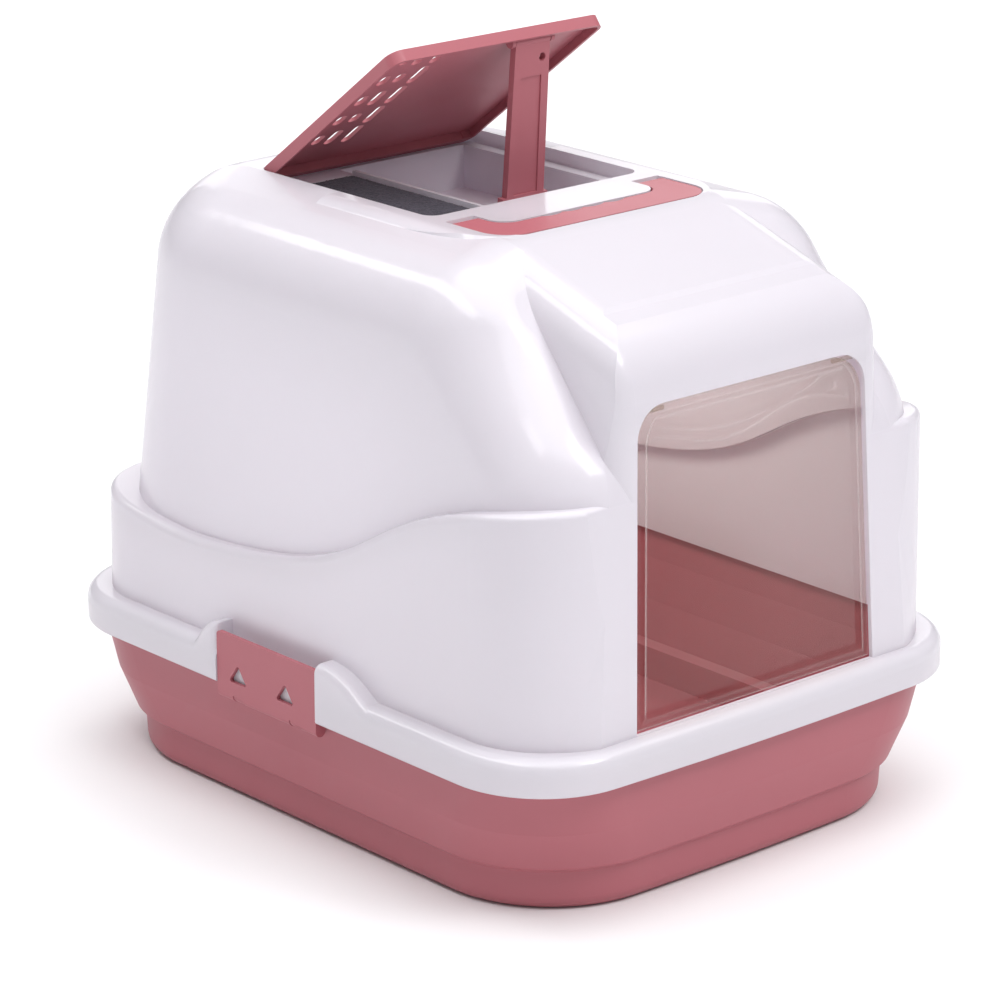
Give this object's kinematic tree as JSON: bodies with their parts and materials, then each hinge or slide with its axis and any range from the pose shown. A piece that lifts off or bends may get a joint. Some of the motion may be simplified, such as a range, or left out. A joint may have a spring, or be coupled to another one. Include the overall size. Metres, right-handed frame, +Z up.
{
  "type": "cat litter box with hood",
  "caption": "Deep litter tray under a lift-off hood with a swinging doorway flap, a propped top lid over a filter bay, a carry handle and side latches.",
  "frame": {"origin": "on the floor under the centre of the tray", "axes": "+Z up; the doorway faces -Y; +X is to the right when looking along +Y"},
  "size_m": [0.4, 0.4998, 0.4996],
  "materials": {
    "rose_plastic": "satin gloss moulded",
    "white_plastic": "satin gloss moulded",
    "smoke_plastic": "translucent, polished",
    "filter_felt": "matt felt"
  },
  "bodies": {
    "tray": {"litter_tray": "rose_plastic", "latch_pin_left": "rose_plastic", "latch_pin_right": "rose_plastic"},
    "hood": {"hood_shell": "white_plastic", "compartment_tray": "white_plastic", "filter_pad": "filter_felt"},
    "door": {"door_flap": "smoke_plastic", "door_pin_left": "smoke_plastic", "door_pin_right": "smoke_plastic"},
    "lid": {"top_lid": "rose_plastic", "lid_pin_left": "rose_plastic", "lid_pin_right": "rose_plastic", "stay_pin": "rose_plastic"},
    "stay": {"lid_stay": "rose_plastic"},
    "handle": {"carry_handle": "rose_plastic", "handle_pin_left": "rose_plastic", "handle_pin_right": "rose_plastic"},
    "left_latch": {"latch_left": "rose_plastic"},
    "right_latch": {"latch_right": "rose_plastic"}
  },
  "joints": [
    {"name": "hood_lift", "type": "slide", "parent": "tray", "child": "hood", "axis": [0, 0, 1], "range_m": [0, 0.3]},
    {"name": "door_swing", "type": "hinge", "parent": "hood", "child": "door", "pos_m": [0, -0.22291, 0.316], "axis": [1, 0, 0], "range_deg": [-70, 70]},
    {"name": "lid_hinge", "type": "hinge", "parent": "hood", "child": "lid", "pos_m": [0, 0.14, 0.3955], "axis": [-1, 0, 0], "range_deg": [-37, 0]},
    {"name": "stay_fold", "type": "hinge", "parent": "lid", "child": "stay", "pos_m": [0.0295, 0.01102, 0.49019], "axis": [-1, 0, 0], "range_deg": [-48.84, 0]},
    {"name": "handle_pivot", "type": "hinge", "parent": "hood", "child": "handle", "pos_m": [0, -0.05, 0.395], "axis": [-1, 0, 0], "range_deg": [0, 90]},
    {"name": "left_latch_pivot", "type": "hinge", "parent": "tray", "child": "left_latch", "pos_m": [-0.195, 0.01, 0.084], "axis": [0, -1, 0], "range_deg": [0, 80]},
    {"name": "right_latch_pivot", "type": "hinge", "parent": "tray", "child": "right_latch", "pos_m": [0.195, 0.01, 0.084], "axis": [0, 1, 0], "range_deg": [0, 80]}
  ],
  "couplings": [
    {"joint": "stay_fold", "follows": "lid_hinge", "ratio": 1.32}
  ]
}
